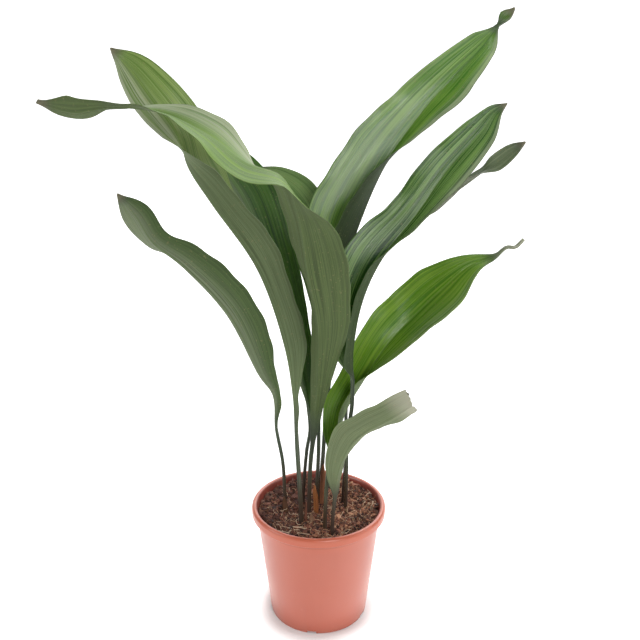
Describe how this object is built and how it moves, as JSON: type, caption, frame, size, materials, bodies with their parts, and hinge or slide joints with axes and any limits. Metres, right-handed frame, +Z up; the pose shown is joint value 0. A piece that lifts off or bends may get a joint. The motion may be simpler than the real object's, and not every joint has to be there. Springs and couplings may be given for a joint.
{
  "type": "potted cast iron plant",
  "caption": "House plant with long pleated evergreen leaves on single upright stalks, growing in a round tapered plastic nursery pot filled with bark compost.",
  "frame": {"origin": "middle of the pot's flat underside pad, on the surface that the pot stands on", "axes": "+Z up along the pot's axis, -Y towards the front of the plant, +X to its right"},
  "size_m": [0.5274, 0.2652, 0.7462],
  "materials": {
    "pot_plastic": "satin moulded plastic, salmon terracotta",
    "bark_compost": "rough bark and coir compost",
    "rhizome": "dull brown root stock",
    "leaf_shaded": "grey-green leathery blade",
    "leaf_mid": "glossy mid green leathery blade",
    "leaf_dark": "glossy dark green leathery blade",
    "leaf_bright": "glossy bright green leathery blade",
    "leaf_pale": "pale grey-green leathery blade",
    "sheath": "dry papery brown scale"
  },
  "bodies": {
    "root": {"pot": "pot_plastic", "soil": "bark_compost", "rhizome": "rhizome", "leaf_low_left": "leaf_shaded", "leaf_high_left": "leaf_mid", "leaf_arching": "leaf_shaded", "leaf_inner_left": "leaf_dark", "leaf_back": "leaf_mid", "leaf_top_right": "leaf_mid", "leaf_mid_right": "leaf_dark", "leaf_behind_right": "leaf_shaded", "leaf_bright_right": "leaf_bright", "leaf_low_right": "leaf_pale", "sheath_orange": "sheath", "sheath_back": "sheath", "sheath_left": "sheath", "sheath_front": "sheath", "sheath_low": "sheath"}
  },
  "joints": []
}
